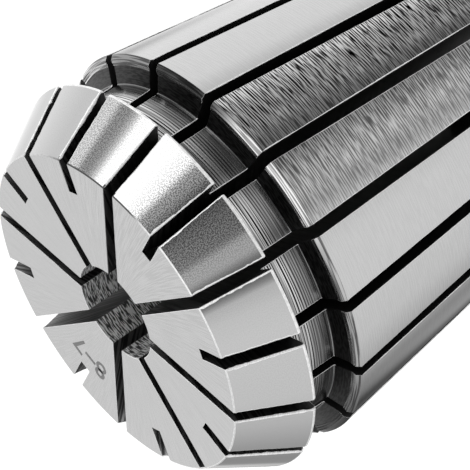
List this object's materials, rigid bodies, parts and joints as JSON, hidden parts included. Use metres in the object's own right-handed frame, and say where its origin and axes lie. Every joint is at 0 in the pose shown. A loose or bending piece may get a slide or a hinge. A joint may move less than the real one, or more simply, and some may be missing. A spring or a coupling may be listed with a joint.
{
  "type": "er collet",
  "caption": "Slotted steel spring collet with a tapered body, a cone nose, a groove behind the nose and a straight bore.",
  "frame": {"origin": "centre of the rear face, on the collet's axis", "axes": "+Z along the bore's axis, from the rear face to the nose; +X through the middle of a long slot"},
  "size_m": [0.033, 0.033, 0.04],
  "materials": {
    "ground_steel": "ground and polished spring steel"
  },
  "bodies": {
    "root": {"er_collet": "ground_steel"}
  },
  "joints": []
}
